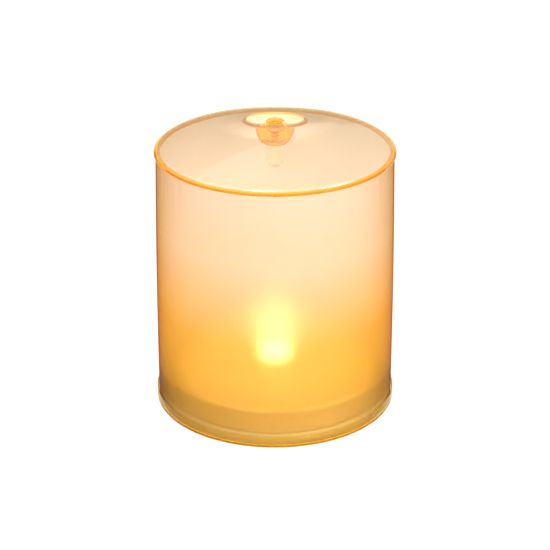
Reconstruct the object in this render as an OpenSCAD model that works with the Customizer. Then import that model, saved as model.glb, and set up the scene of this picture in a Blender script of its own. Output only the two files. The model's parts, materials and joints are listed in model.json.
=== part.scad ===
// Inflatable solar candle lantern: a frosted film drum over a thin round light module.
// Frame: origin on the table under the drum's centre, +Z up, front towards -Y, valve towards +Y.

/* [Drum] */
// Outer diameter of the seam lip at the table
base_d = 90; // [88:0.2:94]
// Outer diameter of the seam lip round the top
top_d = 88.4; // [87:0.2:92]
// Height of the middle of the top seam
seam_h = 98.8; // [92:0.2:110]
// Thickness of the soft film
film_t = 0.5; // [0.4:0.05:0.6]
// Height of the top film's shoulder above the middle of the seam
shoulder_h = 1.7; // [1.5:0.1:2.2]
// Rise of the inflated top film from its shoulder to its centre
crown_h = 2.4; // [1.6:0.1:3]

/* [Seam lips] */
// Width of each welded lip, measured along the radius
lip_w = 2.4; // [2.2:0.1:2.8]
// Thickness of each welded lip
lip_h = 1; // [0.8:0.1:1.2]
// How far a lip stands out past the wall film
lip_proud = 0.7; // [0.5:0.1:0.9]

/* [Valve] */
// Distance from the drum's axis to the valve
valve_y = 23.3; // [20:0.1:25]
// Outer radius of the valve's flange
flange_r = 12.2; // [11:0.1:13]
// Radius of the recess's mouth, inside the flange's rim
mouth_r = 11; // [10:0.1:11.4]
// Radius of the recess where the funnel meets the skirt
recess_r = 6.9; // [6.6:0.1:7.4]
// Depth of the funnel below the flange
funnel_depth = 3; // [2.4:0.1:3.4]
// Outer radius of the valve stem
stem_r = 3.1; // [2.9:0.1:3.3]
// Depth of the stem's lower end below the flange
stem_depth = 16.2; // [15:0.1:17]
// Depth of the folded skirt below the flange
skirt_depth = 10.5; // [9.5:0.1:11]

/* [Module] */
// Outer radius of the light module
module_r = 41.5; // [41:0.1:42]
// Height of the module's top plate above the table
module_top = 13.5; // [13.2:0.1:14]
// Wall thickness of the module's mouldings
shell_t = 1.5; // [1.2:0.1:1.8]
// Radius of the light dome's round window
window_r = 7; // [6.5:0.1:8]
// Height of the light dome above the module
dome_h = 5.2; // [4.5:0.1:6]

/* [Solar panel] */
// Side of the square solar panel
panel_w = 54; // [50:1:54]
// Number of cells side by side
cell_count = 4; // [3:1:6]

/* [Power button] */
// Distance from the drum's axis to the button
button_y = 33.5; // [33:0.1:34]
// Radius of the button's face
button_r = 4.5; // [4:0.1:4.5]

/* [Hidden] */
$fn = 96;
fine_fn = 48;
clearance = 0.1;     // between pieces that move or drop into each other
tiny = 0.05;         // running gap on the valve

// Drum, worked out
base_lip_r = base_d / 2;
top_lip_r = top_d / 2;
wall_base_r = base_lip_r - lip_proud;
wall_top_r = top_lip_r - lip_proud;
seam_low = seam_h - lip_h / 2;
seam_high = seam_h + lip_h / 2;
shoulder_z = seam_h + shoulder_h;
film_foot_r = wall_top_r - 0.6;
shoulder_r = shoulder_z - seam_high;      // radius of the rounded shoulder
crown_edge_r = film_foot_r - shoulder_r;  // where the shoulder runs into the crown
crown_sphere_r = (pow(crown_edge_r, 2) + pow(crown_h, 2)) / (2 * crown_h);

// Valve frame: its z = 0 is the flange's upper face, and it stands square to the domed film
valve_tilt = asin(valve_y / crown_sphere_r);
film_gap = 0.26;     // room for the dome's curve over the flat flange
valve_film_z = shoulder_z + crown_h - crown_sphere_r + sqrt(pow(crown_sphere_r, 2) - pow(valve_y, 2));
valve_z = valve_film_z - film_t - film_gap;
stem_bore_r = 2.1;
mouth_z = -2.4;
collar_r = 3.6;
plug_head_r = 3.4;
plug_top = 0.9;
flap_t = 0.4;
flap_r = stem_r - 0.2;
flap_hinge_y = stem_r + 0.6;
flap_hinge_z = -stem_depth - 0.5;

// Module levels, from the table up
panel_low = 0.85;
sheet_t = 0.45;
bar_t = 0.06;
cell_t = 0.24;
backboard_t = 0.9;
cells_low = panel_low + sheet_t + bar_t;
backboard_low = cells_low + cell_t;
tray_low = 0.8;
recess_top = backboard_low + backboard_t + clearance;
floor_top = 3.6;
gasket_t = 0.6;
cover_low = floor_top + gasket_t;
plate_low = module_top - shell_t;
spigot_r = module_r - shell_t - 0.4;
spigot_top = 6;
recess_w = panel_w + 0.4;

// Boards and fasteners
board_w = 52;
board_t = 1.2;
board_low = 8.6;
board_top = board_low + board_t;
standoff_xy = 22.5;
standoff_r = 2.4;
boss_x = 33.8;
boss_y = 9;
boss_r = 2.8;
thread_r = 1;
pilot_r = 1.05;
switch_board_low = 6.4;
switch_board_t = 1;
switch_post_x = 7.4;
button_top = 3.3;
charge_x = 11.5;
battery = [38, 34, 4];
battery_low = 4.2;

// Lead routes, each in a plane of constant x, as [y, z]
battery_lead_route = [
    [15.2, 6.76], [18, 6.76], [22, 6.6], [26.2, 6.9], [28.2, 8.8], [27.3, 10.8], [25.6, 10.95], [24.05, 10.85]
];
solar_lead_route = [
    [24.6, 2.51], [24.6, 4.2], [26, 5.6], [28, 7], [28.4, 9], [27.4, 10.5], [25.6, 10.5], [24.6, 10.37], [23.4, 10.37]
];
lead_d = 1.1;
lead_sides = 8;
lead_steps = 4;

// ---------- Shared shapes ----------

module ring(outer_r, inner_r, low, high) {
    translate([0, 0, low])
        difference() {
            cylinder(h = high - low, r = outer_r);
            translate([0, 0, -1])
                cylinder(h = high - low + 2, r = inner_r);
        }
}

module disc(r, low, high) {
    translate([0, 0, low])
        cylinder(h = high - low, r = r);
}

module block(size, low) {
    translate([-size[0] / 2, -size[1] / 2, low])
        cube(size);
}

// A plate with rounded corners, centred on the axis
module plate(w, l, corner_r, low, high) {
    translate([0, 0, low])
        linear_extrude(high - low) {
            square([w - 2 * corner_r, l], center = true);
            square([w, l - 2 * corner_r], center = true);
            for (x = [-1, 1], y = [-1, 1])
                translate([x * (w / 2 - corner_r), y * (l / 2 - corner_r)])
                    circle(corner_r);
        }
}

module at_corners(x, y) {
    for (i = [-1, 1], j = [-1, 1])
        translate([i * x, j * y, 0])
            children();
}

module on_valve() {
    translate([0, valve_y, valve_z])
        rotate([-valve_tilt, 0, 0])
            children();
}

module at_button() {
    translate([0, -button_y, 0])
        children();
}

// A round lead swept along a route of [y, z] points, with Catmull-Rom smoothing between them
function between(a, b, c, d, t) =
    0.5 * (2 * b + (c - a) * t + (2 * a - 5 * b + 4 * c - d) * t * t + (3 * b - 3 * c + d - a) * t * t * t);
function smooth(route) = [
    for (i = [0 : len(route) - 2], k = [0 : lead_steps - 1])
        between(route[max(i - 1, 0)], route[i], route[i + 1], route[min(i + 2, len(route) - 1)], k / lead_steps),
    route[len(route) - 1]
];
function heading(line, i) = line[min(i + 1, len(line) - 1)] - line[max(i - 1, 0)];
function lead_ring(x, at, along) = [
    for (k = [0 : lead_sides - 1])
        let (a = 360 * k / lead_sides, n = along / norm(along))
            [x + lead_d / 2 * cos(a), at[0] - lead_d / 2 * sin(a) * n[1], at[1] + lead_d / 2 * sin(a) * n[0]]
];

module lead(route, x) {
    line = smooth(route);
    rings = len(line);
    n = lead_sides;
    points = [for (i = [0 : rings - 1]) each lead_ring(x, line[i], heading(line, i))];
    sides = [
        for (i = [0 : rings - 2], k = [0 : n - 1])
            [i * n + k, i * n + (k + 1) % n, (i + 1) * n + (k + 1) % n, (i + 1) * n + k]
    ];
    ends = [[for (k = [n - 1 : -1 : 0]) k], [for (k = [0 : n - 1]) (rings - 1) * n + k]];
    polyhedron(points = points, faces = concat(sides, ends));
}

// ---------- Drum ----------

module wall_film() {
    height = seam_low - lip_h;
    color([0.99, 0.84, 0.6, 0.75])
        translate([0, 0, lip_h])
            difference() {
                cylinder(h = height, r1 = wall_base_r, r2 = wall_top_r);
                translate([0, 0, -height / 10])
                    cylinder(
                        h = height * 1.2,
                        r1 = wall_base_r - film_t + (wall_base_r - wall_top_r) / 10,
                        r2 = wall_top_r - film_t - (wall_base_r - wall_top_r) / 10
                    );
            }
}

// Points from the foot over the shoulder arc and along the crown, offset inwards by depth
function crown_z(r, depth) = shoulder_z + crown_h - crown_sphere_r
    + sqrt(pow(crown_sphere_r - depth, 2) - r * r);
function film_line(depth) = concat(
    [[film_foot_r - depth, seam_high]],
    [for (a = [15 : 15 : 75]) [crown_edge_r + (shoulder_r - depth) * cos(a), seam_high + (shoulder_r - depth) * sin(a)]],
    [for (i = [10 : -1 : 0]) [crown_edge_r * i / 10, crown_z(crown_edge_r * i / 10, depth)]]
);

module top_film() {
    outside = film_line(0);
    inside = film_line(film_t);
    last = len(inside) - 1;
    color([0.96, 0.86, 0.7, 0.35])
        difference() {
            rotate_extrude()
                polygon(concat(outside, [for (i = [last : -1 : 0]) inside[i]]));
            on_valve()
                cylinder(h = 10, r = mouth_r, center = true);
        }
}

module bottom_film() {
    color([0.95, 0.88, 0.75, 0.4])
        difference() {
            disc(base_lip_r - lip_w, 0, film_t);
            at_button()
                disc(button_r + 0.5, -1, 2);
        }
}

module top_seam_lip() {
    color([0.95, 0.62, 0.2, 0.8])
        ring(top_lip_r, top_lip_r - lip_w, seam_low, seam_high);
}

module bottom_seam_lip() {
    color([0.72, 0.5, 0.2, 0.8])
        ring(base_lip_r, base_lip_r - lip_w, 0, lip_h);
}

// ---------- Valve ----------

// A flat rim welded under the film, with a funnel hanging inside it
module valve_flange() {
    wall = 0.6;
    color([0.98, 0.66, 0.25, 0.7])
        on_valve()
            rotate_extrude()
                polygon([
                    [flange_r, 0], [mouth_r, 0], [mouth_r - 0.2, -0.3], [recess_r, -funnel_depth + 0.4],
                    [recess_r, -funnel_depth], [recess_r + wall, -funnel_depth], [mouth_r - 0.1, -1.1],
                    [flange_r - 0.3, -1.1], [flange_r, -0.8]
                ]);
}

module valve_skirt() {
    inner_r = stem_r + tiny;
    wall = 0.55;
    top = -funnel_depth;
    a = recess_r - inner_r;
    b = skirt_depth + top - wall;
    outside = [for (t = [0 : 9 : 90]) [inner_r + (a + wall) * cos(t), top - (b + wall) * sin(t)]];
    inside = [for (t = [90 : -9 : 0]) [inner_r + a * cos(t), top - b * sin(t)]];
    color([0.98, 0.7, 0.3, 0.7])
        on_valve()
            rotate_extrude()
                polygon(concat(outside, inside));
}

module valve_stem() {
    color([0.97, 0.88, 0.72, 0.6])
        on_valve()
            difference() {
                union() {
                    disc(stem_r, -stem_depth, mouth_z);
                    disc(collar_r, mouth_z - 0.8, mouth_z);
                    for (x = [-1.5, 0.9]) {
                        translate([x, 2.3, -stem_depth])
                            cube([0.6, flap_hinge_y - 1.7, 1]);
                        translate([x, flap_hinge_y - 0.6, flap_hinge_z - 0.6])
                            cube([0.6, 1.2, 1.1]);
                    }
                }
                disc(stem_bore_r, -stem_depth - 1, mouth_z + 1);
                translate([-2, flap_hinge_y, flap_hinge_z])
                    rotate([0, 90, 0])
                        cylinder(h = 4, r = 0.35, $fn = fine_fn);
            }
}

module valve_plug() {
    shank_r = stem_bore_r - tiny;
    shank_low = mouth_z - 6.2;
    head_low = mouth_z + 0.05;
    grip = [1.2, 4.4, 0.5];
    color([0.98, 0.74, 0.36, 0.7])
        on_valve() {
            difference() {
                union() {
                    disc(plug_head_r, head_low, plug_top - grip[2]);
                    disc(shank_r, shank_low, head_low);
                }
                disc(1.1, shank_low - 1, head_low);
            }
            block(grip, plug_top - grip[2]);
        }
}

module valve_tether() {
    strap_w = 1.6;
    loop_y = -plug_head_r - clearance;
    loop_z = mouth_z - 0.5;
    outer = 2.1;
    inner = 1.5;
    color([0.98, 0.78, 0.42, 0.7])
        on_valve() {
            ring(stem_r + 0.6, stem_r + tiny, loop_z - outer, loop_z - inner);
            translate([-strap_w / 2, loop_y, loop_z])
                rotate([90, 0, 90])
                    linear_extrude(strap_w)
                        difference() {
                            circle(outer, $fn = fine_fn);
                            circle(inner, $fn = fine_fn);
                            translate([0, -3])
                                square(6);
                        }
        }
}

// A round flap closing the stem's lower end, on a pin carried in two ears
module valve_flap() {
    color([0.9, 0.9, 0.88])
        on_valve() {
            disc(flap_r, flap_hinge_z - flap_t / 2, flap_hinge_z + flap_t / 2);
            translate([-0.6, flap_hinge_y - 1.6, flap_hinge_z - flap_t / 2])
                cube([1.2, 1.6, flap_t]);
            translate([-1.5, flap_hinge_y, flap_hinge_z])
                rotate([0, 90, 0])
                    cylinder(h = 3, r = 0.3, $fn = fine_fn);
        }
}

// ---------- Module housing ----------

module cover_blank() {
    edge = 1.4;     // radius of the rounded top edge
    rotate_extrude()
        union() {
            square_high = module_top - edge;
            translate([0, cover_low])
                square([module_r, square_high - cover_low]);
            translate([0, cover_low])
                square([module_r - edge, module_top - cover_low]);
            translate([module_r - edge, square_high])
                circle(edge, $fn = fine_fn);
        }
}

module module_cover() {
    color([0.96, 0.93, 0.86]) {
        difference() {
            cover_blank();
            disc(module_r - shell_t, cover_low - 1, plate_low);
            disc(window_r, plate_low - 1, module_top + 1);
        }
        at_corners(boss_x, boss_y)
            ring(boss_r, pilot_r, floor_top + 0.05, plate_low);
    }
}

module module_tray() {
    color([0.93, 0.91, 0.86])
        difference() {
            union() {
                disc(module_r, tray_low, floor_top);
                ring(spigot_r, spigot_r - 1.3, floor_top, spigot_top);
                at_corners(standoff_xy, standoff_xy)
                    disc(standoff_r, floor_top, board_low);
                for (x = [-1, 1])
                    translate([x * switch_post_x, -button_y, 0])
                        disc(1.4, floor_top, switch_board_low);
            }
            plate(recess_w, recess_w, 3, tray_low - 1, recess_top);
            at_corners(boss_x, boss_y) {
                disc(thread_r + 0.15, 0, floor_top + 1);
                disc(2.2, 0, 2.4);
            }
            at_corners(standoff_xy, standoff_xy)
                disc(pilot_r, board_low - 4.5, board_low + 1);
            for (x = [-1, 1])
                translate([x * switch_post_x, -button_y, 0])
                    disc(0.65, switch_board_low - 2, switch_board_low + 1);
            at_button() {
                disc(button_r + clearance, 0, floor_top + 1);
                disc(button_r + 1.1, 2, floor_top + 1);
            }
            translate([charge_x, -button_y, 0])
                disc(1.6, 0, floor_top + 1);
            for (x = [-14, -11])
                translate([x, solar_lead_route[0][0], 0])
                    disc(lead_d / 2 + 0.15, 0, floor_top + 1);
        }
}

module cover_gasket() {
    color([0.2, 0.2, 0.2])
        ring(module_r - 0.3, spigot_r + 0.1, floor_top, cover_low);
}

module adhesive_ring() {
    color([0.85, 0.85, 0.82])
        difference() {
            ring(module_r - 1, module_r - 3, film_t, tray_low);
            at_button()
                disc(button_r + 2, 0, 2);
        }
}

module pan_screw(head_r, head_low, head_high, shank_r, shank_low, shank_high) {
    slot = [0.5, head_r * 1.3, 0.5];
    at_head_top = head_high > shank_high;
    slot_low = at_head_top ? head_high - slot[2] : head_low - 0.01;
    difference() {
        union() {
            disc(head_r, head_low, head_high);
            disc(shank_r, shank_low, shank_high);
        }
        block([slot[0], slot[1], slot[2] + 0.01], slot_low);
        block([slot[1], slot[0], slot[2] + 0.01], slot_low);
    }
}

module cover_screws() {
    color([0.7, 0.7, 0.72])
        at_corners(boss_x, boss_y)
            pan_screw(1.95, 1.1, 2.35, thread_r, 2.35, 9.5);
}

// ---------- Solar panel, facing down ----------

module solar_cover_sheet() {
    color([0.8, 0.85, 0.9, 0.35])
        plate(panel_w, panel_w, 2.6, panel_low, panel_low + sheet_t);
}

cell_gap = 0.8;
cell_w = (panel_w - 3) / cell_count - cell_gap;
cell_l = panel_w - 3;
function cell_x(i) = (i - (cell_count - 1) / 2) * (cell_w + cell_gap);

module solar_cells() {
    color([0.07, 0.09, 0.2])
        for (i = [0 : cell_count - 1])
            translate([cell_x(i), 0, 0])
                block([cell_w, cell_l, cell_t], cells_low);
}

module solar_busbars() {
    bar_w = 0.7;
    color([0.8, 0.8, 0.82])
        for (i = [0 : cell_count - 1], side = [-1, 1])
            translate([cell_x(i) + side * cell_w / 4, 0, 0])
                block([bar_w, cell_l, bar_t], cells_low - bar_t);
}

module solar_backboard() {
    color([0.1, 0.12, 0.1])
        plate(panel_w, panel_w, 2.6, backboard_low, backboard_low + backboard_t);
}

module solar_lead_red() {
    color([0.75, 0.1, 0.08])
        lead(solar_lead_route, -14);
}

module solar_lead_black() {
    color([0.08, 0.08, 0.08])
        lead(solar_lead_route, -11);
}

// ---------- Battery ----------

module battery_cell() {
    fold = 1.2;     // thin sealed edge at the lead end
    color([0.75, 0.77, 0.8]) {
        translate([0, -fold, 0])
            plate(battery[0], battery[1] - 2 * fold, 1.6, battery_low, battery_low + battery[2]);
        translate([-battery[0] / 2 + 2, battery[1] / 2 - 2 * fold, battery_low + 1])
            cube([battery[0] - 4, 2 * fold - clearance, 1]);
    }
}

module battery_pad() {
    color([0.3, 0.3, 0.32])
        block([battery[0] - 3, battery[1] - 4, battery_low - floor_top], floor_top);
}

module battery_lead_red() {
    color([0.75, 0.1, 0.08])
        lead(battery_lead_route, -1.2);
}

module battery_lead_black() {
    color([0.08, 0.08, 0.08])
        lead(battery_lead_route, 1.2);
}

module battery_plug() {
    color([0.9, 0.88, 0.82])
        translate([0, 22.25, 0])
            block([5, 3.5, 1.3], board_top + 0.4);
}

module battery_socket() {
    color([0.86, 0.83, 0.76])
        difference() {
            translate([0, 21, 0])
                block([7, 5, 2], board_top);
            translate([0, 22.3, 0])
                block([5.2, 3.8, 1.5], board_top + 0.3);
        }
}

// ---------- Main board ----------

module main_board() {
    color([0.12, 0.35, 0.2])
        difference() {
            plate(board_w, board_w, 4, board_low, board_top);
            at_corners(standoff_xy, standoff_xy)
                disc(thread_r + 0.15, 0, board_top + 1);
        }
}

module controller_chip() {
    color([0.1, 0.1, 0.11])
        translate([14, 3, 0])
            block([5, 6.2, 1.4], board_top);
}

module power_inductor() {
    color([0.25, 0.25, 0.27])
        translate([-14, -6, 0])
            plate(6, 6, 1, board_top, board_top + 1.9);
}

module small_parts() {
    rows = [-14, -11, -8];
    color([0.62, 0.5, 0.35])
        for (x = [10, 14, 18], y = rows)
            translate([x, y, 0])
                block([1.6, 0.8, 0.6], board_top);
    color([0.62, 0.5, 0.35])
        for (x = [-16, -12], y = [4, 8])
            translate([x, y, 0])
                block([2, 1.2, 0.8], board_top);
}

module board_screws() {
    color([0.7, 0.7, 0.72])
        at_corners(standoff_xy, standoff_xy)
            pan_screw(1.9, board_top, board_top + 1.3, thread_r, board_top - 5, board_top);
}

// ---------- Light ----------

module led_package() {
    color([1, 0.86, 0.45]) {
        block([3.6, 3.6, 0.8], board_top);
        translate([0, 0, board_top + 0.8])
            intersection() {
                sphere(1.4, $fn = fine_fn);
                cylinder(h = 2, r = 2, $fn = fine_fn);
            }
    }
}

module led_reflector() {
    foot_r = 3;
    mouth_r = 5.6;
    wall = 0.5;
    high = plate_low - 0.9;
    color([0.95, 0.95, 0.93])
        translate([0, 0, board_top])
            difference() {
                cylinder(h = high - board_top, r1 = foot_r + wall, r2 = mouth_r + wall);
                translate([0, 0, -0.01])
                    cylinder(h = high - board_top + 0.02, r1 = foot_r, r2 = mouth_r);
            }
}

// A frosted dome with a flange glued under the window
module light_dome() {
    outer_r = window_r - clearance;
    wall = 1;
    high = dome_h + shell_t;
    color([1, 0.93, 0.75, 0.8])
        difference() {
            union() {
                disc(window_r + 1.4, plate_low - 0.8, plate_low);
                rotate_extrude()
                    dome_outline(outer_r, high, plate_low);
            }
            translate([0, 0, -1])
                rotate_extrude()
                    dome_outline(outer_r - wall, high, plate_low);
            disc(outer_r - wall, plate_low - 3, plate_low);
        }
}

// A quarter ellipse over a short straight side
module dome_outline(r, high, low) {
    side = 1.6;
    polygon(concat(
        [[0, low], [r, low]],
        [for (a = [0 : 7.5 : 90]) [r * cos(a), low + side + (high - side) * sin(a)]]
    ));
}

// ---------- Power button and charge light, facing down ----------

module power_button() {
    color([0.3, 0.3, 0.3])
        at_button() {
            disc(button_r, 0.3, 2);
            disc(button_r + 0.8, 2, 2.8);
            disc(1.3, 2.8, button_top);
        }
}

module switch_plunger() {
    color([0.85, 0.82, 0.75])
        at_button()
            disc(0.9, button_top, 4.9);
}

module switch_body() {
    color([0.15, 0.15, 0.15])
        at_button()
            difference() {
                block([6, 6, 2.3], switch_board_low - 2.3);
                disc(1, 0, 5.6);
            }
}

module switch_board() {
    color([0.12, 0.35, 0.2])
        difference() {
            translate([2.25, -button_y, 0])
                plate(23.5, 6, 1.4, switch_board_low, switch_board_low + switch_board_t);
            for (x = [-1, 1])
                translate([x * switch_post_x, -button_y, 0])
                    disc(0.7, 0, 10);
        }
}

module switch_board_screws() {
    top = switch_board_low + switch_board_t;
    color([0.7, 0.7, 0.72])
        for (x = [-1, 1])
            translate([x * switch_post_x, -button_y, 0])
                pan_screw(1.2, top, top + 0.8, 0.6, top - 2.6, top);
}

// A flat flexible strip from the switch board up to the main board's edge
module switch_ribbon() {
    low = switch_board_low + switch_board_t;
    color([0.85, 0.6, 0.2])
        translate([-3, 0, 0])
            rotate([90, 0, 90])
                linear_extrude(6)
                    polygon([
                        [-button_y + 1, low], [-28.1, low], [-26.3, board_top], [-24, board_top],
                        [-24, board_top + 0.35], [-26.6, board_top + 0.35],
                        [-28.4, low + 0.35], [-button_y + 1, low + 0.35]
                    ]);
}

module charge_led() {
    color([0.9, 0.3, 0.2])
        translate([charge_x, -button_y, 0])
            block([1.6, 1.2, 0.8], switch_board_low - 0.8);
}

// A light pipe from the charge light down to the underside
module charge_window() {
    color([0.9, 0.9, 0.88, 0.6])
        translate([charge_x, -button_y, 0]) {
            disc(1.5, 0.9, switch_board_low - 1);
            disc(1.9, floor_top, floor_top + 0.5);
        }
}

wall_film();
top_film();
bottom_film();
top_seam_lip();
bottom_seam_lip();
valve_flange();
valve_skirt();
valve_stem();
valve_plug();
valve_tether();
valve_flap();
module_cover();
module_tray();
cover_gasket();
adhesive_ring();
cover_screws();
solar_cover_sheet();
solar_busbars();
solar_cells();
solar_backboard();
solar_lead_red();
solar_lead_black();
battery_cell();
battery_pad();
battery_lead_red();
battery_lead_black();
battery_plug();
battery_socket();
main_board();
controller_chip();
power_inductor();
small_parts();
board_screws();
led_package();
led_reflector();
light_dome();
power_button();
switch_plunger();
switch_body();
switch_board();
switch_board_screws();
switch_ribbon();
charge_led();
charge_window();
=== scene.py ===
import json
import math

import bmesh
import bpy
from mathutils import Matrix, Vector


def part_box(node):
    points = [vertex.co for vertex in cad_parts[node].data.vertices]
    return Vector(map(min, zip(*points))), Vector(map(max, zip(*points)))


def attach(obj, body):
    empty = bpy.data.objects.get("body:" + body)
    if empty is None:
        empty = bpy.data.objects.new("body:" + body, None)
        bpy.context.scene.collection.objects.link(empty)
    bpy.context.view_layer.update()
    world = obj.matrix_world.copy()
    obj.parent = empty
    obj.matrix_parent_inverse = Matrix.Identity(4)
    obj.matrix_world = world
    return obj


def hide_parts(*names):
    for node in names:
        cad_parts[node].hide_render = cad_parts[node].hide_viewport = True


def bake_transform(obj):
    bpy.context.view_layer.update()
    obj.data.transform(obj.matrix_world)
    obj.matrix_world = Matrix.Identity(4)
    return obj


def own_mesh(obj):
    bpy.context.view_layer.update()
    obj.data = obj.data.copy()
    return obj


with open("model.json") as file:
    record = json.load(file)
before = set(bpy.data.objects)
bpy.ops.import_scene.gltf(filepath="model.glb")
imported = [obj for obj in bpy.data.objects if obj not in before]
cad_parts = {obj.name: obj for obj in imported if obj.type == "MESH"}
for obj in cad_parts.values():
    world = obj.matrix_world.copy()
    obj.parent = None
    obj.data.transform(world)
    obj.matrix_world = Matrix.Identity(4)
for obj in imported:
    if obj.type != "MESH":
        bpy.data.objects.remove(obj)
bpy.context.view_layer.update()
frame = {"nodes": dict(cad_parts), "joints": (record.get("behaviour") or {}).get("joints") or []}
MM = 0.001

# ---------- Sizes, from the CAD model ----------

BASE_LIP, TOP_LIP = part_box("bottom_seam_lip"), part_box("top_seam_lip")
WALL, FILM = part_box("wall_film"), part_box("top_film")
R_BASE, R_TOP = BASE_LIP[1].x, TOP_LIP[1].x
JOINTS = {joint["name"]: joint for joint in frame["joints"]}

# The valve's frame: x across, z along the valve's axis, origin in the middle of its rim's upper face
VALVE_AXIS = Vector(JOINTS["valve_pop"]["axis"]).normalized()
TILT = math.atan2(VALVE_AXIS.y, VALVE_AXIS.z)
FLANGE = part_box("valve_flange")
FLANGE_R = (FLANGE[1].x - FLANGE[0].x) / 2
FLANGE_DROP = 0.7 * MM           # how far below the rim's face the flange's middle is taken to be
VALVE_Y = (FLANGE[0].y + FLANGE[1].y) / 2 + FLANGE_DROP * math.sin(TILT)
VALVE_Z = FLANGE[1].z - FLANGE_R * math.sin(TILT)
VALVE = Matrix.Translation((0, VALVE_Y, VALVE_Z)) @ Matrix.Rotation(-TILT, 4, "X")
VALVE_BACK = VALVE.inverted()

# The valve's own measures, in millimetres in that frame
MOUTH_R = 11.0           # the hole in the top film, and the wide end of the funnel
RECESS_R = 6.9           # the narrow end of the funnel
FUNNEL_DEPTH = 3.0
BEAD_AT = 11.9           # from the valve's axis to the middle of the rolled bead
BEAD_R = 0.36
STEM_R = 3.15            # where the skirt meets the stem
SKIRT_END = 9.0          # how far below the rim's face the skirt meets it
SKIRT_WALL = 0.5
PLUG_BORE_R = 1.1
PLUG_SHANK_R = 2.04
PLUG_SHANK_END = 8.6     # how far below the rim's face the shank ends
PLUG_HEAD_R = 3.35
PLUG_HEAD_LOW = 2.35     # and how far below it the head does
GRIP_SIZE = Vector((1.2, 4.4, 0.6))
GRIP_RISE = 0.6          # from the rim's face up to the middle of the grip

# The drum's own measures
FILM_T = 0.4 * MM                # the film's thickness
WALL_INSET = 0.7 * MM            # from a lip's edge in to the wall
WALL_BULGE = 0.35 * MM           # how far the air pushes the wall out at mid height
LIP_WIDTH = 2.35 * MM
COLLAR = 4.3 * MM                # height of the welded edge turned up at the foot
SHOULDER = 1.2 * MM              # round where the top film meets the wall
CREST_LIFT = 0.5 * MM            # how far the air lifts the film round the valve
CREST_SLOPE = 0.06

DRUM_SEGMENTS = 240


# ---------- Mesh helpers ----------

def arc(cx, cz, r, start, end, steps, rz=None):
    """Points from one angle to another, in degrees, on a circle, or on an ellipse of height rz."""
    rz = r if rz is None else rz
    angles = [math.radians(start + (end - start) * i / steps) for i in range(steps + 1)]
    return [(cx + r * math.cos(a), cz + rz * math.sin(a)) for a in angles]


def in_metres(points):
    return [(r * MM, z * MM) for r, z in points]


def link(name, data):
    ob = bpy.data.objects.new(name, data)
    bpy.context.scene.collection.objects.link(ob)
    return ob


def mesh_object(name, verts, faces, uvs=None):
    me = bpy.data.meshes.new(name)
    me.from_pydata(verts, [], faces)
    if uvs:
        layer = me.uv_layers.new(name="UVMap")
        corners = [uv for face in uvs for uv in face]
        for loop, uv in zip(layer.data, corners):
            loop.uv = uv
    return link(name, me)


def shade(ob, angle=35):
    """Merge doubled points, turn the faces outward, and shade smooth up to a crease angle in degrees."""
    bm = bmesh.new()
    bm.from_mesh(ob.data)
    bmesh.ops.remove_doubles(bm, verts=bm.verts, dist=1e-7)
    bmesh.ops.recalc_face_normals(bm, faces=bm.faces)
    bm.to_mesh(ob.data)
    bm.free()
    for face in ob.data.polygons:
        face.use_smooth = True
    ob.data.set_sharp_from_angle(angle=math.radians(angle))
    return ob


def revolve(name, profile, segs=96, shape=None, matrix=None, angle=35):
    """A closed profile of (r, z) turned about Z. shape(r, z, turn) may move each point of it."""
    rows = len(profile)
    verts, index = [], {}
    for i, (r, z) in enumerate(profile):
        for k in range(segs):
            if r < 1e-9 and k:
                index[i, k] = index[i, 0]
                continue
            turn = 2 * math.pi * k / segs
            rr, zz = shape(r, z, turn) if shape else (r, z)
            index[i, k] = len(verts)
            verts.append((rr * math.cos(turn), rr * math.sin(turn), zz))
    faces, uvs = [], []
    for i in range(rows):
        for k in range(segs):
            face, uv = [], []
            for di, dk in ((0, 0), (0, 1), (1, 1), (1, 0)):
                v = index[(i + di) % rows, (k + dk) % segs]
                if v not in face:
                    face.append(v)
                    uv.append(((k + dk) / segs, (i + di) / rows))
            if len(face) > 2:
                faces.append(face)
                uvs.append(uv)
    ob = mesh_object(name, verts, faces, uvs)
    if matrix:
        ob.data.transform(matrix)
    return shade(ob, angle)


def drill(ob, cutter):
    """Cut one object's shape out of another, and drop the cutter."""
    mod = ob.modifiers.new("cut", "BOOLEAN")
    mod.operation, mod.object, mod.solver = "DIFFERENCE", cutter, "EXACT"
    deps = bpy.context.evaluated_depsgraph_get()
    me = bpy.data.meshes.new_from_object(ob.evaluated_get(deps))
    ob.modifiers.clear()
    ob.data = me
    bpy.data.objects.remove(cutter)


def keep_height(ob):
    """Store each point's height at rest, which the film's colours follow when the drum folds."""
    heights = ob.data.attributes.new("rest_z", "FLOAT", "POINT")
    for i, v in enumerate(ob.data.vertices):
        heights.data[i].value = v.co.z


def finish_piece(ob, material):
    ob.data.materials.append(material)
    keep_height(ob)


def ripple(turn, waves):
    """An uneven wave round the drum, from -1 to 1: each wave is (how many round the drum, phase)."""
    return sum(math.sin(count * turn + phase) for count, phase in waves) / len(waves)


def lean(ob, fade=None):
    """The air pushes the film up in front of the valve, so the rim stands a little proud there."""
    for v in ob.data.vertices:
        q = VALVE_BACK @ v.co
        near = min(1.0, max(0.0, (24.0 - math.hypot(q.x, q.y) / MM) / 11.5))
        amount = near * near * (3 - 2 * near)
        if fade:
            amount *= fade(q.z / MM)
        v.co.z += (CREST_LIFT - CREST_SLOPE * q.y) * amount


# ---------- Material helpers ----------

def srgb(*levels):
    """A colour given in 0 to 255 display levels, as linear light."""
    parts = [level / 255 for level in levels]
    return tuple(c / 12.92 if c <= 0.04045 else ((c + 0.055) / 1.055) ** 2.4 for c in parts)


def new_material(name):
    m = bpy.data.materials.new(name)
    m.use_nodes = True
    tree = m.node_tree
    tree.nodes.clear()
    out = tree.nodes.new("ShaderNodeOutputMaterial")
    return m, tree, out


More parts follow.
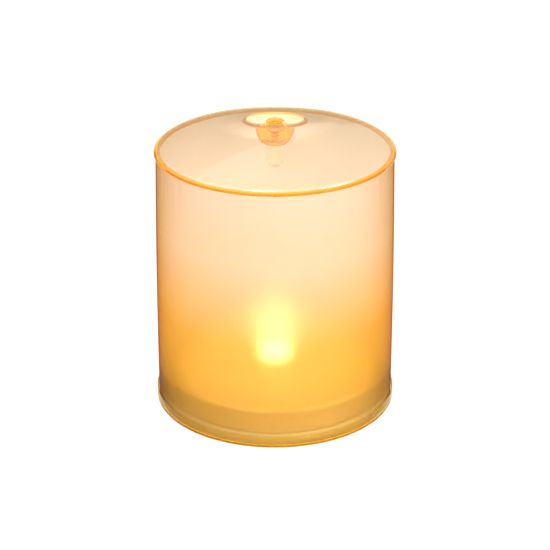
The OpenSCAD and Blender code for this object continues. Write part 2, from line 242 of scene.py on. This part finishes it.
def node(tree, kind, **values):
    """A shader node. A value's name is an input's, or with a leading _ one of the node's own settings."""
    n = tree.nodes.new("ShaderNode" + kind)
    for key, value in values.items():
        if key.startswith("_"):
            setattr(n, key[1:], value)
        else:
            n.inputs[key].default_value = value
    return n


def mixed(tree, factor, first, second):
    """Two shaders mixed by a number or by another node's output."""
    mix = node(tree, "MixShader")
    if isinstance(factor, float):
        mix.inputs[0].default_value = factor
    else:
        tree.links.new(factor, mix.inputs[0])
    tree.links.new(first, mix.inputs[1])
    tree.links.new(second, mix.inputs[2])
    return mix.outputs[0]


def added(tree, first, second):
    both = node(tree, "AddShader")
    tree.links.new(first, both.inputs[0])
    tree.links.new(second, both.inputs[1])
    return both.outputs[0]


def grained(tree, strength, scale, detail=3.0):
    """A normal roughened by fine noise."""
    where = node(tree, "TexCoord")
    grain = node(tree, "TexNoise", Scale=scale, Detail=detail)
    tree.links.new(where.outputs["Object"], grain.inputs["Vector"])
    bump = node(tree, "Bump", Strength=strength, Distance=0.0002)
    tree.links.new(grain.outputs["Fac"], bump.inputs["Height"])
    return bump.outputs["Normal"]


def ramp_of(tree, source, stops):
    ramp = tree.nodes.new("ShaderNodeValToRGB")
    elements = ramp.color_ramp.elements
    while len(elements) > 1:
        elements.remove(elements[0])
    elements[0].position, elements[0].color = stops[0][0], (*stops[0][1], 1)
    for place, colour in stops[1:]:
        elements.new(place).color = (*colour, 1)
    tree.links.new(source, ramp.inputs[0])
    return ramp.outputs[0]


def height_of(tree, low, high):
    """How far up the resting drum a point is, from 0 to 1."""
    kept = node(tree, "Attribute", _attribute_name="rest_z")
    share = node(tree, "MapRange", **{"From Min": low, "From Max": high})
    tree.links.new(kept.outputs["Fac"], share.inputs["Value"])
    return share.outputs[0]


def shadow_clear(tree, shader, tint):
    """Light from the studio and from inside passes the film; the film itself still shows."""
    path = node(tree, "LightPath")
    clear = node(tree, "BsdfTransparent", Color=(tint, tint, tint, 1))
    return mixed(tree, path.outputs["Is Shadow Ray"], shader, clear.outputs[0])


def absorb(tree, out, depth, colour):
    volume = node(tree, "VolumeAbsorption", Color=(*colour, 1), Density=depth)
    tree.links.new(volume.outputs[0], out.inputs["Volume"])


def coated(tree, body, strength, rough, normal=None):
    """A glossy face over what is below it, stronger at a glancing angle."""
    shine = node(tree, "BsdfGlossy", Roughness=rough)
    facing = node(tree, "LayerWeight", Blend=0.5)
    edge = node(tree, "Math", _operation="POWER")
    edge.inputs[1].default_value = 4.0
    amount = node(tree, "Math", _operation="MULTIPLY_ADD")
    amount.inputs[1].default_value, amount.inputs[2].default_value = strength, strength * 0.06
    tree.links.new(facing.outputs["Facing"], edge.inputs[0])
    tree.links.new(edge.outputs[0], amount.inputs[0])
    if normal:
        tree.links.new(normal, shine.inputs["Normal"])
    return mixed(tree, amount.outputs[0], body, shine.outputs[0])


# ---------- Kinds of material ----------

def principled(name, color, rough=0.5, metal=0.0, bump=0.0, scale=900.0, coat=0.0, glow=None):
    """A solid finish: colour with a little unevenness, and a fine grain in the bump."""
    vary = 0.06
    glow_power = 6.0
    m, tree, out = new_material(name)
    shader = node(tree, "BsdfPrincipled", Roughness=rough, Metallic=metal)
    shader.inputs["Coat Weight"].default_value = coat
    where = node(tree, "TexCoord")
    cloud = node(tree, "TexNoise", Scale=scale / 12, Detail=3.0)
    tree.links.new(where.outputs["Object"], cloud.inputs["Vector"])
    mix = node(tree, "Mix", _data_type="RGBA")
    mix.inputs[6].default_value = [c * (1 - vary) for c in color] + [1]
    mix.inputs[7].default_value = [min(1, c * (1 + vary)) for c in color] + [1]
    tree.links.new(cloud.outputs["Fac"], mix.inputs[0])
    tree.links.new(mix.outputs[2], shader.inputs["Base Color"])
    if bump:
        tree.links.new(grained(tree, bump, scale, 4.0), shader.inputs["Normal"])
    if glow:
        shader.inputs["Emission Color"].default_value = (*glow, 1)
        shader.inputs["Emission Strength"].default_value = glow_power
    tree.links.new(shader.outputs[0], out.inputs[0])
    return m


def frosted(name, low, high, stops, lamp, clear, rough, back, gloss, gloss_rough, bump, scale):
    """Tinted film, smooth outside and matte inside: the inner face is lit by the lamp and by a painted glow,
    its colour ramp holds painted shade and a painted highlight, it scatters light and blurs what is behind
    it; the outer face is clear with a sheen."""
    m, tree, out = new_material(name)
    up = height_of(tree, low, high)
    # Painted light: the colour follows the height, with painted shade, a painted highlight and the lamp's
    # glow painted into it
    colour = ramp_of(tree, up, stops)
    scatter, face = node(tree, "BsdfTranslucent"), node(tree, "BsdfDiffuse")
    for n in (scatter, face):
        tree.links.new(colour, n.inputs["Color"])
    blur = node(tree, "BsdfRefraction", Roughness=rough, IOR=1.12)
    tree.links.new(grained(tree, bump, scale), blur.inputs["Normal"])
    body = mixed(tree, back, face.outputs[0], scatter.outputs[0])
    matte = mixed(tree, clear, body, blur.outputs[0])
    # Painted glow: emission by height on the inner face, standing in for the lamp's light coming through
    lit = node(tree, "Emission", Strength=1.0)
    tree.links.new(ramp_of(tree, up, lamp), lit.inputs["Color"])
    inner = added(tree, matte, lit.outputs[0])
    open_face = node(tree, "BsdfTransparent", Color=(1, 1, 1, 1))
    outer = coated(tree, open_face.outputs[0], gloss, gloss_rough, grained(tree, 0.3, 500))
    side = node(tree, "Attribute", _attribute_name="inner_face")
    both = mixed(tree, side.outputs["Fac"], outer, inner)
    tree.links.new(shadow_clear(tree, both, 0.95), out.inputs[0])
    absorb(tree, out, FILM_DEPTH, AMBER)
    return m


def clear_skin(name, milk, gloss, rough, colour=(0.97, 0.93, 0.87), haze=(0.9, 0.8, 0.65), depth=0.0):
    """A clear tinted film with a touch of milkiness and a glossy face."""
    m, tree, out = new_material(name)
    through = node(tree, "BsdfTransparent", Color=(*colour, 1))
    face = node(tree, "BsdfDiffuse", Color=(*haze, 1))
    body = mixed(tree, milk, through.outputs[0], face.outputs[0])
    tree.links.new(shadow_clear(tree, coated(tree, body, gloss, rough), 0.97), out.inputs[0])
    if depth:
        absorb(tree, out, depth, AMBER)
    return m


def vinyl(name, rough, ior, depth, lamp, colour):
    """Clear tinted soft plastic, with a painted glow: emission standing in for the lamp's light inside it."""
    m, tree, out = new_material(name)
    glass = node(tree, "BsdfGlass", Color=(1, 1, 1, 1), Roughness=rough, IOR=ior)
    # Painted glow: the given colour given off as emission
    lit = node(tree, "Emission", Color=(*lamp, 1), Strength=1.0)
    both = added(tree, glass.outputs[0], lit.outputs[0])
    tree.links.new(shadow_clear(tree, both, 0.95), out.inputs[0])
    absorb(tree, out, depth, colour)
    return m


def panel_sheet():
    """The clear hard sheet over the solar cells."""
    m, tree, out = new_material("panel_sheet")
    shader = node(tree, "BsdfPrincipled", Roughness=0.08, IOR=1.45, Alpha=0.25)
    shader.inputs["Base Color"].default_value = (0.85, 0.88, 0.9, 1)
    tree.links.new(shader.outputs[0], out.inputs[0])
    return m


def solar_cell():
    """Dark cells crossed by fine collector lines."""
    m, tree, out = new_material("cell_blue")
    shader = node(tree, "BsdfPrincipled", Roughness=0.25)
    where = node(tree, "TexCoord")
    wave = node(tree, "TexWave", _wave_type="BANDS", _bands_direction="Y", Scale=220.0)
    tree.links.new(where.outputs["Object"], wave.inputs["Vector"])
    lines = [(0.0, srgb(20, 26, 58)), (0.9, srgb(24, 30, 66)), (0.97, srgb(120, 126, 150))]
    tree.links.new(ramp_of(tree, wave.outputs["Fac"], lines), shader.inputs["Base Color"])
    tree.links.new(shader.outputs[0], out.inputs[0])
    return m


# ---------- Materials ----------

# What the tinted plastics let by, with how strongly they take up the rest per metre
AMBER = (0.88, 0.70, 0.05)
GOLD = (0.93, 0.76, 0.06)
OLIVE = (0.85, 0.72, 0.06)
FILM_DEPTH = 930.0

# The wall's colour from its foot to its top, with painted light in it: painted shade at the foot, a pale
# stripe of painted highlight, painted shade in front of the module, then the lamp's glow painted in, amber to
# cream
WALL_STOPS_WITH_PAINTED_LIGHT = [
    # painted shade, darker at the foot
    (0.00, (0.26, 0.18, 0.08)),
    (0.025, (0.28, 0.20, 0.09)),
    # a pale stripe of painted highlight
    (0.040, (0.50, 0.40, 0.22)),
    # painted shade where the module stands behind the film
    (0.055, (0.34, 0.24, 0.09)),
    (0.128, (0.33, 0.22, 0.06)),
    # from here up, the lamp's glow painted in, amber fading to cream
    (0.142, (0.45, 0.28, 0.06)),
    (0.25, (0.52, 0.26, 0.03)),
    (0.40, (0.60, 0.29, 0.06)),
    (0.55, (0.68, 0.46, 0.38)),
    (0.72, (0.70, 0.58, 0.78)),
    (1.00, (0.70, 0.60, 0.82)),
]
# Painted glow: the lamp's light that the frosted face gives off as emission, from the foot to the top
WALL_PAINTED_GLOW = [
    (0.00, (0.05, 0.025, 0.001)),
    (0.13, (0.09, 0.045, 0.002)),
    (0.25, (0.20, 0.15, 0.015)),
    (0.42, (0.22, 0.16, 0.03)),
    (0.60, (0.15, 0.10, 0.08)),
    (1.00, (0.08, 0.06, 0.09)),
]

wall_mat = frosted("frosted_film", WALL[0].z, WALL[1].z, WALL_STOPS_WITH_PAINTED_LIGHT, WALL_PAINTED_GLOW, clear=0.31, rough=0.6,
                   back=0.4, gloss=0.10, gloss_rough=0.35, bump=1.0, scale=2200)
top_mat = clear_skin("clear_film", milk=0.05, gloss=0.8, rough=0.015, colour=(0.99, 0.985, 0.96),
                     haze=(0.85, 0.72, 0.52), depth=440)
base_film_mat = clear_skin("base_film", milk=0.15, gloss=0.6, rough=0.06)
# In each, the colour before the tint is a painted glow, given off as emission
seam_mat = vinyl("seam", 0.10, 1.2, 1900, (0.13, 0.08, 0.015), GOLD)
seam_base_mat = vinyl("seam_base", 0.25, 1.15, 1500, (0.03, 0.015, 0.0), OLIVE)
skirt_mat = vinyl("valve_vinyl", 0.03, 1.2, 2500, (0.12, 0.05, 0.0), GOLD)
funnel_mat = vinyl("valve_funnel", 0.03, 1.1, 320, (0.05, 0.035, 0.01), GOLD)
rim_mat = vinyl("valve_rim", 0.10, 1.12, 3200, (0.24, 0.12, 0.0), GOLD)
core_mat = vinyl("valve_core", 0.03, 1.25, 420, (0.05, 0.025, 0.0), GOLD)
stem_mat = vinyl("valve_stem", 0.05, 1.12, 60, (0.02, 0.012, 0.0), GOLD)

white = principled("module_white", srgb(214, 198, 164), 0.45, bump=0.25, scale=2500)
# The cover's warm gold is painted light: the lamp's amber light on a white cover, painted into its colour
cover_mat = principled("module_cover_painted_warm_light", srgb(222, 188, 128), 0.5, bump=0.2, scale=2500)
steel = principled("screw_steel", srgb(190, 190, 195), 0.3, 1.0)
foam = principled("gasket_foam", srgb(60, 60, 60), 0.9, bump=0.6, scale=1800)
tape = principled("adhesive", srgb(220, 220, 214), 0.6)
clear_sheet = panel_sheet()
busbar = principled("busbar", srgb(205, 205, 208), 0.25, 1.0)
board_dark = principled("panel_board", srgb(28, 30, 28), 0.6, bump=0.2)
red = principled("lead_red", srgb(190, 30, 26), 0.35)
black = principled("lead_black", srgb(24, 24, 24), 0.35)
pouch = principled("pouch_foil", srgb(190, 194, 202), 0.35, 0.6, bump=0.3, scale=600)
connector = principled("connector", srgb(228, 220, 200), 0.5)
green = principled("board_green", srgb(34, 92, 56), 0.4, coat=0.4)
chip = principled("chip_black", srgb(34, 34, 36), 0.5, bump=0.2)
tan = principled("chip_tan", srgb(160, 128, 92), 0.5)
phosphor = principled("led_phosphor", srgb(255, 214, 110), 0.3, glow=(1.0, 0.62, 0.22))
dome_mat = principled("dome_diffuser", srgb(255, 236, 200), 0.35, glow=(1.0, 0.72, 0.36))
rubber = principled("button_grey", srgb(86, 86, 88), 0.75, bump=0.4, scale=1600)
ribbon = principled("ribbon", srgb(214, 150, 60), 0.4)

FINISH = {
    "wall_film": wall_mat, "top_film": top_mat, "bottom_film": base_film_mat,
    "top_seam_lip": seam_mat, "bottom_seam_lip": seam_base_mat,
    "valve_flange": skirt_mat, "valve_skirt": skirt_mat, "valve_stem": stem_mat,
    "valve_plug": core_mat, "valve_tether": core_mat, "valve_flap": stem_mat,
    "module_tray": white, "module_cover": cover_mat, "cover_gasket": foam,
    "adhesive_ring": tape, "cover_screws": steel,
    "solar_cover_sheet": clear_sheet, "solar_busbars": busbar, "solar_cells": solar_cell(),
    "solar_backboard": board_dark, "solar_lead_red": red, "solar_lead_black": black,
    "battery_cell": pouch, "battery_pad": foam, "battery_lead_red": red, "battery_lead_black": black,
    "battery_plug": connector, "battery_socket": connector,
    "main_board": green, "controller_chip": chip, "power_inductor": chip, "small_parts": tan,
    "board_screws": steel, "led_package": phosphor, "led_reflector": white, "light_dome": dome_mat,
    "power_button": rubber, "switch_plunger": connector, "switch_body": chip, "switch_board": green,
    "switch_board_screws": steel, "switch_ribbon": ribbon, "charge_led": phosphor,
    "charge_window": clear_sheet,
}
for name, ob in frame["nodes"].items():
    ob.data.materials.clear()
    finish_piece(ob, FINISH[name])


# ---------- Drum: the wall ----------

Z0, Z1 = WALL[0].z, WALL[1].z
WALL_ROWS = 72
TOP_GATHERS = [(31, 0.3), (47, 1.9), (73, 4.1)]
FOOT_GATHERS = [(29, 1.1), (53, 0.4), (67, 2.2)]


def wall_r(z):
    """The wall's outer radius: a straight taper between the lips, with a slight bulge."""
    f = (z - Z0) / (Z1 - Z0)
    foot, top = R_BASE - WALL_INSET, R_TOP - WALL_INSET
    return foot + (top - foot) * f + WALL_BULGE * math.sin(math.pi * f)


def near_weld(distance):
    """1 at 3 mm from a weld, and fading both ways."""
    share = distance / (3.0 * MM)
    return share * math.exp(1 - share) if distance > 0 else 0.0


def wall_shape(r, z, turn):
    """Fine gathers along both welds."""
    depth = 0.10 * near_weld(Z1 - z) * ripple(turn, TOP_GATHERS)
    depth += 0.07 * near_weld(z - Z0) * ripple(turn, FOOT_GATHERS)
    return r + depth * MM, z


levels = [Z0 + (Z1 - Z0) * (0.5 - 0.5 * math.cos(math.pi * i / WALL_ROWS)) for i in range(WALL_ROWS + 1)]
outer = [(wall_r(z), z) for z in levels]
inside = [(wall_r(z) - FILM_T, z) for z in reversed(levels)]
wall = revolve("wall_film_detail", outer + inside, DRUM_SEGMENTS, wall_shape)
finish_piece(wall, wall_mat)
inner_face = wall.data.attributes.new("inner_face", "FLOAT", "POINT")
for i, v in enumerate(wall.data.vertices):
    inner_face.data[i].value = 1.0 if math.hypot(v.co.x, v.co.y) < wall_r(v.co.z) - FILM_T / 2 else 0.0
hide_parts("wall_film")
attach(wall, "base")
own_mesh(wall)


# ---------- Drum: the welded lips ----------

def lip(name, r_out, box, mat, body, waves, collar=0.0):
    """A flat welded ring with a rounded edge and a groove where the welding tool pressed."""
    lo, hi = box[0].z, box[1].z
    r_in = r_out - LIP_WIDTH
    bead = 0.45 * MM
    profile = [(r_in, lo), (r_out - bead, lo)]
    edge = [r_out - bead, (lo + hi) / 2, bead]
    if collar:      # the welded edge turned up along the foot of the wall
        rise = lo + collar
        profile += arc(*edge, -90, 0, 5, (hi - lo) / 2)[1:]
        profile += [(r_out - 0.02 * MM, (hi + rise) / 2), (r_out - 0.05 * MM, rise - 0.1 * MM)]
        profile += [(r_out - 0.14 * MM, rise), (r_out - 0.26 * MM, rise - 0.1 * MM), (r_out - 0.28 * MM, hi)]
    else:
        profile += arc(*edge, -90, 90, 10, (hi - lo) / 2)[1:]
    groove = hi - 0.14 * MM
    profile += [(r_out - 0.9 * MM, hi), (r_out - 1.05 * MM, groove), (r_out - 1.35 * MM, groove)]
    profile += [(r_out - 1.5 * MM, hi), (r_in, hi)]

    def uneven(r, z, turn):
        share = max(0.0, (r - r_in) / LIP_WIDTH)
        return r - 0.12 * MM * share * (0.5 + 0.5 * ripple(turn, waves)), z

    ob = revolve(name, profile, DRUM_SEGMENTS, uneven)
    finish_piece(ob, mat)
    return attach(ob, body)


top_waves = [(11, 0.2), (23, 1.3), (41, 0.7)]
top_lip = lip("top_seam_lip_detail", R_TOP, TOP_LIP, seam_mat, "top", top_waves)
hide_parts("top_seam_lip")
base_waves = [(9, 0.5), (19, 2.3), (37, 1.7)]
base_lip = lip("bottom_seam_lip_detail", R_BASE, BASE_LIP, seam_base_mat, "base",
               base_waves, COLLAR)
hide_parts("bottom_seam_lip")


# ---------- Drum: the top film ----------

FOOT_R = R_TOP - WALL_INSET - 0.6 * MM
EDGE_R = FOOT_R - SHOULDER
SHOULDER_Z = TOP_LIP[1].z + SHOULDER
CROWN_H = FILM[1].z - SHOULDER_Z
SPHERE = (EDGE_R ** 2 + CROWN_H ** 2) / (2 * CROWN_H)
SHOULDER_GATHERS = [(43, 0.2), (61, 2.1), (89, 3.3)]


def film_profile(depth):
    """From the weld over a rounded shoulder and a shallow crown to the axis, at a depth in the film."""
    points = [(FOOT_R - depth, TOP_LIP[1].z)]
    points += arc(EDGE_R, TOP_LIP[1].z, SHOULDER - depth, 9, 81, 8)
    for i in range(40, -1, -1):
        r = EDGE_R * i / 40
        points.append((r, SHOULDER_Z + CROWN_H - SPHERE + math.sqrt((SPHERE - depth) ** 2 - r * r)))
    return points


def gather(r, z, turn):
    """Fine gathers just inside the shoulder."""
    inset = (FOOT_R - r) / MM
    if inset <= 0.3:
        return r, z
    return r, z + 0.09 * MM * max(0.0, 1 - abs(inset - 2.2) / 5.0) * ripple(turn, SHOULDER_GATHERS)


top_film = revolve("top_film_detail", film_profile(0) + film_profile(FILM_T)[::-1], DRUM_SEGMENTS, gather)
top_film.data.materials.append(top_mat)
CUT = 10.0
cut_line = [(0, -CUT), (MOUTH_R, -CUT), (MOUTH_R, CUT), (0, CUT)]
drill(top_film, revolve("cut", in_metres(cut_line), matrix=VALVE))
shade(top_film, 40)
lean(top_film)
keep_height(top_film)
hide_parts("top_film")
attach(top_film, "top")


# ---------- Valve ----------

def skirt_line(thickness):
    """The skirt's section: a quarter of a rounded curve from the funnel down to the stem."""
    across = RECESS_R - STEM_R + thickness
    down = SKIRT_END - FUNNEL_DEPTH - SKIRT_WALL - 0.05 + thickness
    angles = [math.radians(90 * i / 20) for i in range(21)]
    return [(STEM_R + across * math.cos(a) ** 1.2, -FUNNEL_DEPTH - down * math.sin(a)) for a in angles]


def below_funnel(z):
    """0 at the funnel's foot and 1 where the skirt meets the stem, for a height in millimetres."""
    return min(1.0, max(0.0, (-FUNNEL_DEPTH - z) / (SKIRT_END - FUNNEL_DEPTH)))


def flute(r, z, turn):
    """Slight flutes where the skirt has been pushed in."""
    return r + 0.12 * MM * math.sin(math.pi * below_funnel(z / MM)) * math.sin(9 * turn), z


skirt_profile = in_metres(skirt_line(SKIRT_WALL) + skirt_line(0.0)[::-1])
skirt = revolve("valve_skirt_detail", skirt_profile, shape=flute, matrix=VALVE)
lean(skirt, lambda z: 1.0 - below_funnel(z))
finish_piece(skirt, skirt_mat)
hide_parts("valve_skirt")
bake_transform(skirt)

# The funnel, from the rim down to the recess and back up outside, and the rolled bead round its rim
funnel_line = [(MOUTH_R + 0.6, -0.1), (MOUTH_R, -0.15), (MOUTH_R - 0.2, -0.4), (9.4, -1.05), (8.0, -1.95)]
funnel_line += [(RECESS_R, -FUNNEL_DEPTH + 0.25), (RECESS_R, -FUNNEL_DEPTH), (RECESS_R + 0.6, -FUNNEL_DEPTH)]
funnel_line += [(9.0, -2.15), (MOUTH_R - 0.6, -1.4), (MOUTH_R + 0.4, -1.0), (MOUTH_R + 0.6, -0.9)]
bead_line = arc(BEAD_AT, -0.35, BEAD_R, 0, 345, 23)
mouth_parts = [("valve_funnel_detail", funnel_line, funnel_mat), ("valve_rim_bead", bead_line, rim_mat)]
for name, line, mat in mouth_parts:
    ob = revolve(name, in_metres(line), 128, matrix=VALVE, angle=60)
    lean(ob)
    finish_piece(ob, mat)
    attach(ob, "top")
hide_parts("valve_flange")


def plug_profile():
    """A hollow shank under a round head with a groove round its edge."""
    line = [(0, -PLUG_HEAD_LOW + 0.15), (PLUG_BORE_R, -PLUG_HEAD_LOW + 0.15), (PLUG_BORE_R, -PLUG_SHANK_END)]
    line += [(PLUG_SHANK_R - 0.14, -PLUG_SHANK_END), (PLUG_SHANK_R, -PLUG_SHANK_END + 0.2)]
    line += [(PLUG_SHANK_R, -PLUG_HEAD_LOW), (PLUG_HEAD_R - 0.25, -PLUG_HEAD_LOW)]
    line += [(PLUG_HEAD_R, -PLUG_HEAD_LOW + 0.2), (PLUG_HEAD_R, -1.5), (3.0, -1.3), (3.0, -0.5)]
    line += [(PLUG_HEAD_R, -0.3), (PLUG_HEAD_R, 0.0)]
    return line + arc(PLUG_HEAD_R - 0.35, 0.05, 0.35, 0, 90, 5)[1:] + [(0, 0.4)]


def finger_grip():
    """A rounded bar on the plug's head."""
    me = bpy.data.meshes.new("grip")
    bm = bmesh.new()
    bmesh.ops.create_cube(bm, size=1)
    bmesh.ops.scale(bm, vec=GRIP_SIZE * MM, verts=bm.verts)
    bmesh.ops.translate(bm, vec=(0, 0, GRIP_RISE * MM), verts=bm.verts)
    bmesh.ops.bevel(bm, geom=bm.edges[:], offset=0.2 * MM, segments=3, affect="EDGES")
    bm.to_mesh(me)
    bm.free()
    me.transform(VALVE)
    return shade(link("valve_plug_grip", me), 40)


plug = revolve("valve_plug_detail", in_metres(plug_profile()), matrix=VALVE)
for ob in (plug, finger_grip()):
    finish_piece(ob, core_mat)
    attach(ob, "plug")
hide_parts("valve_plug")

# The tether: a copy of the strap's mesh
strap = link("valve_tether_soft", frame["nodes"]["valve_tether"].data.copy())
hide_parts("valve_tether")
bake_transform(strap)


# ---------- Stage ----------

def pale_floor():
    half = 3.0
    drop = 1e-5
    corners = [(-half, -half, -drop), (half, -half, -drop), (half, half, -drop), (-half, half, -drop)]
    ob = mesh_object("floor", corners, [(0, 1, 2, 3)])
    m, tree, out = new_material("floor")
    matte = node(tree, "BsdfDiffuse", Color=(0.7, 0.7, 0.7, 1))
    lit = node(tree, "Emission", Color=(1, 1, 1, 1), Strength=0.4)
    tree.links.new(added(tree, matte.outputs[0], lit.outputs[0]), out.inputs[0])
    ob.data.materials.append(m)
    return ob


def studio_world():
    """White where it is seen, dimmer as a light."""
    world = bpy.data.worlds.new("studio")
    bpy.context.scene.world = world
    world.use_nodes = True
    tree = world.node_tree
    seen = tree.nodes["Background"]
    seen.inputs[0].default_value = (1, 1, 1, 1)
    seen.inputs[1].default_value = 1.0
    dim = node(tree, "Background", Color=(1, 0.98, 0.95, 1), Strength=0.5)
    path = node(tree, "LightPath")
    looked_at = node(tree, "Math", _operation="ADD", _use_clamp=True)
    tree.links.new(path.outputs["Is Camera Ray"], looked_at.inputs[0])
    tree.links.new(path.outputs["Is Transmission Ray"], looked_at.inputs[1])
    shown = mixed(tree, looked_at.outputs[0], dim.outputs[0], seen.outputs[0])
    tree.links.new(shown, tree.nodes["World Output"].inputs[0])


def area(name, place, target, size, power, size_y=None):
    data = bpy.data.lights.new(name, "AREA")
    data.shape, data.size, data.size_y, data.energy = "RECTANGLE", size, size_y or size, power
    ob = link(name, data)
    ob.location = place
    ob.rotation_mode = "QUATERNION"
    ob.rotation_quaternion = (Vector(target) - Vector(place)).to_track_quat("-Z", "Y")
    return ob


def turned(away, along):
    """The rotation that puts a light's back along one direction and its long side along another."""
    z = Vector(away).normalized()
    x = Vector(along).normalized()
    x = (x - z * x.dot(z)).normalized()
    return Matrix((x, z.cross(x), z)).transposed().to_quaternion()


def flame(name, height, radius, radiance, colour):
    """A round soft light on the drum's axis."""
    data = bpy.data.lights.new(name, "POINT")
    data.energy, data.color, data.shadow_soft_size = radiance * 4 * math.pi ** 2 * radius ** 2, colour, radius
    ob = link(name, data)
    ob.location = (0, 0, height)
    return ob


floor = pale_floor()
studio_world()
area("key", (-0.25, -0.9, 0.75), (0, 0, 0.05), 0.5, 12.0)
# A tall soft box behind and to the right, leaning, whose edge shows as a diagonal line in the clear top
back_box = area("back_box", (0.194, 1.011, 0.655), (0, 0, 0), 1.2, 0.6, 0.5)
back_box.rotation_quaternion = turned((0, 0.883, 0.469), (0.603, 0.374, -0.705))
area("side", (0.8, -0.5, 0.35), (0, 0, 0.05), 0.5, 8.5)
area("overhead", (0.1, 0.1, 1.2), (0, 0, 0.0), 1.2, 4.0)

# A candle-shaped glow: nested soft lights, small and bright low down, wide and dim above. Only the
# smallest lights the module and the film; the others are the halo that shows through the film.
HALO = [10.0, 1.3, 0.8, 0.7, 0.6, 0.3, 0.18, 0.1, 0.05]
for k, radiance in enumerate(HALO):
    share = k / (len(HALO) - 1)
    hue = (1.0, 0.76 - 0.14 * share, 0.36 - 0.08 * share)
    lamp = flame(f"flame_{k}", (21 + 0.9 * k) * MM, (3.5 + 2.0 * k) * MM, radiance, hue)
    lamp.visible_diffuse = k == 0


# ---------- Camera ----------

CAMERA_DISTANCE = 0.729
CAMERA_PITCH = math.radians(24.7)
CAMERA_AIM = (TOP_LIP[1].z + BASE_LIP[0].z) / 2 - 1.0 * MM

lens = bpy.data.cameras.new("camera")
lens.lens, lens.sensor_width = 127.5, 36
lens.clip_start, lens.clip_end = 0.05, 20
camera = link("camera", lens)
camera.location = (0, -CAMERA_DISTANCE * math.cos(CAMERA_PITCH),
                   CAMERA_AIM + CAMERA_DISTANCE * math.sin(CAMERA_PITCH))
camera.rotation_euler = (math.pi / 2 - CAMERA_PITCH, 0, 0)
scene = bpy.context.scene
scene.camera = camera
scene.view_settings.view_transform = "Standard"
scene.view_settings.look = "None"
